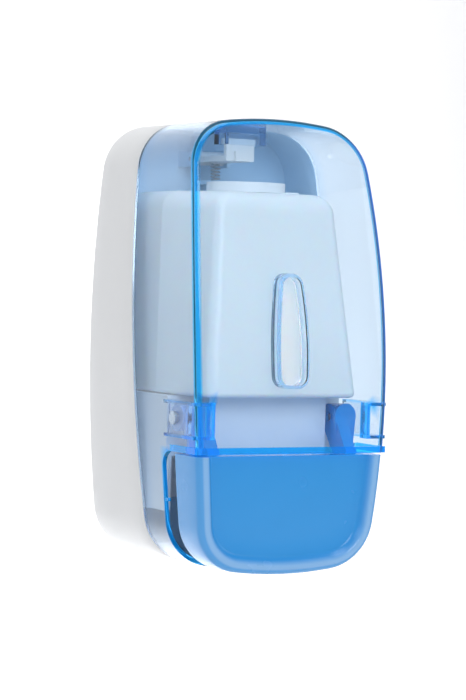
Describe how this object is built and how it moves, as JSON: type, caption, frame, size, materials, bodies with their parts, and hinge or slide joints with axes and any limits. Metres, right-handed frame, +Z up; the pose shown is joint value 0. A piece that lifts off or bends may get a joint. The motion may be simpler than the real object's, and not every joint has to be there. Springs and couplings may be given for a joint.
{
  "type": "wall mounted soap dispenser",
  "caption": "Wall-mounted liquid soap dispenser: housing with hinged clear cover, level window, push lever, lift-out reservoir with screw neck and a spring piston pump.",
  "frame": {"origin": "centre of the back face, on the wall", "axes": "+Z up along the height, +Y out of the back face into the wall, the front faces -Y, +X to the viewer's right as seen from the front"},
  "size_m": [0.132, 0.1223, 0.25],
  "materials": {
    "housing_white": "glossy white moulded plastic",
    "bracket_white": "satin white moulded plastic",
    "cover_clear": "clear blue tinted plastic, polished",
    "window_clear": "clear plastic, polished",
    "lever_blue": "translucent blue plastic, polished",
    "tank_translucent": "milky translucent plastic, satin",
    "cap_white": "white moulded plastic",
    "pump_white": "white moulded plastic",
    "seal_rubber": "matt dark rubber",
    "silicone": "pale silicone",
    "steel": "plain stainless steel",
    "spring_steel": "drawn spring wire"
  },
  "bodies": {
    "housing": {"rear_housing": "housing_white", "pump_bracket": "bracket_white", "bracket_screws": "steel", "cover_hinge_pins": "steel", "latch_pin": "steel", "latch_spring": "spring_steel"},
    "latch": {"latch_tongue": "housing_white"},
    "cover": {"front_cover": "cover_clear", "level_window": "window_clear", "lever_pivot_pins": "steel"},
    "lever": {"push_lever": "lever_blue"},
    "reservoir": {"reservoir_tank": "tank_translucent", "cap_seal": "seal_rubber", "outlet_nut": "cap_white", "outlet_seal": "seal_rubber", "pump_body": "pump_white", "pump_spring": "spring_steel", "inlet_seat": "seal_rubber", "outlet_valve": "silicone", "nozzle_tip": "pump_white"},
    "cap": {"reservoir_cap": "cap_white"},
    "plunger": {"pump_plunger": "pump_white", "plunger_seal": "seal_rubber"},
    "ball": {"inlet_ball": "steel"}
  },
  "joints": [
    {"name": "cover_open", "type": "hinge", "parent": "housing", "child": "cover", "pos_m": [0, -0.0623, -0.1205], "axis": [1, 0, 0], "range_deg": [0, 65]},
    {"name": "lever_press", "type": "hinge", "parent": "cover", "child": "lever", "pos_m": [0, -0.091, -0.04], "axis": [1, 0, 0], "range_deg": [0, 9], "stiffness_Nm_per_rad": 1.5, "springref_deg": -5.73},
    {"name": "plunger_slide", "type": "slide", "parent": "reservoir", "child": "plunger", "axis": [0, 1, 0], "range_m": [0, 0.0074], "deforming": ["pump_spring"]},
    {"name": "latch_press", "type": "hinge", "parent": "housing", "child": "latch", "pos_m": [0, -0.014, 0.105], "axis": [1, 0, 0], "range_deg": [0, 6.5], "stiffness_Nm_per_rad": 0.3, "springref_deg": -8.59, "deforming": ["latch_spring"]},
    {"name": "reservoir_lift", "type": "slide", "parent": "housing", "child": "reservoir", "axis": [0, 0, 1], "range_m": [0, 0.004]},
    {"name": "cap_lift", "type": "slide", "parent": "reservoir", "child": "cap", "axis": [0, 0, 1], "range_m": [0, 0.003]},
    {"name": "ball_lift", "type": "slide", "parent": "reservoir", "child": "ball", "axis": [0, 0, 1], "range_m": [0, 0.0025]}
  ],
  "couplings": [
    {"joint": "plunger_slide", "follows": "lever_press", "m_per_rad": 0.0462}
  ]
}
